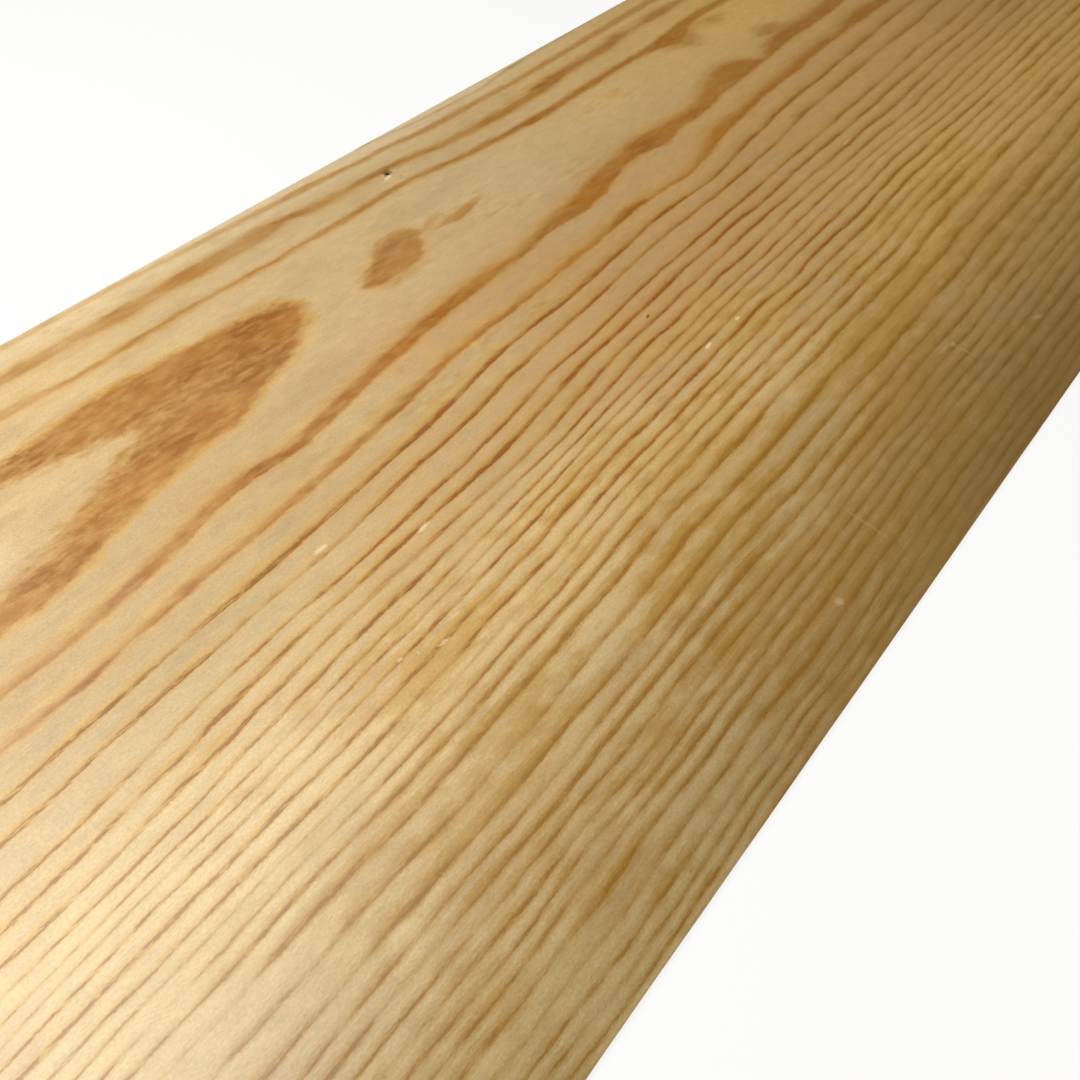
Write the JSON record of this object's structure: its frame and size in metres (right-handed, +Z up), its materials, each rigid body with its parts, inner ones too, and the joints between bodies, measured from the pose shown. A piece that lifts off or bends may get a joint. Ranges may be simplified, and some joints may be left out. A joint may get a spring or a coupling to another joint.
{
  "type": "wood veneer sheet",
  "caption": "Thin knife-sliced leaf of pale softwood with a flat-cut figure, lying face up with one long edge curled gently down.",
  "frame": {"origin": "on the surface that the sheet lies on, under the middle of its box", "axes": "+X along the grain, +Y towards the flat long edge, +Z up through the show face"},
  "size_m": [0.6, 0.199, 0.0093],
  "materials": {
    "veneer": "bare knife-cut softwood, satin along the grain"
  },
  "bodies": {
    "root": {"veneer_sheet": "veneer"}
  },
  "joints": []
}
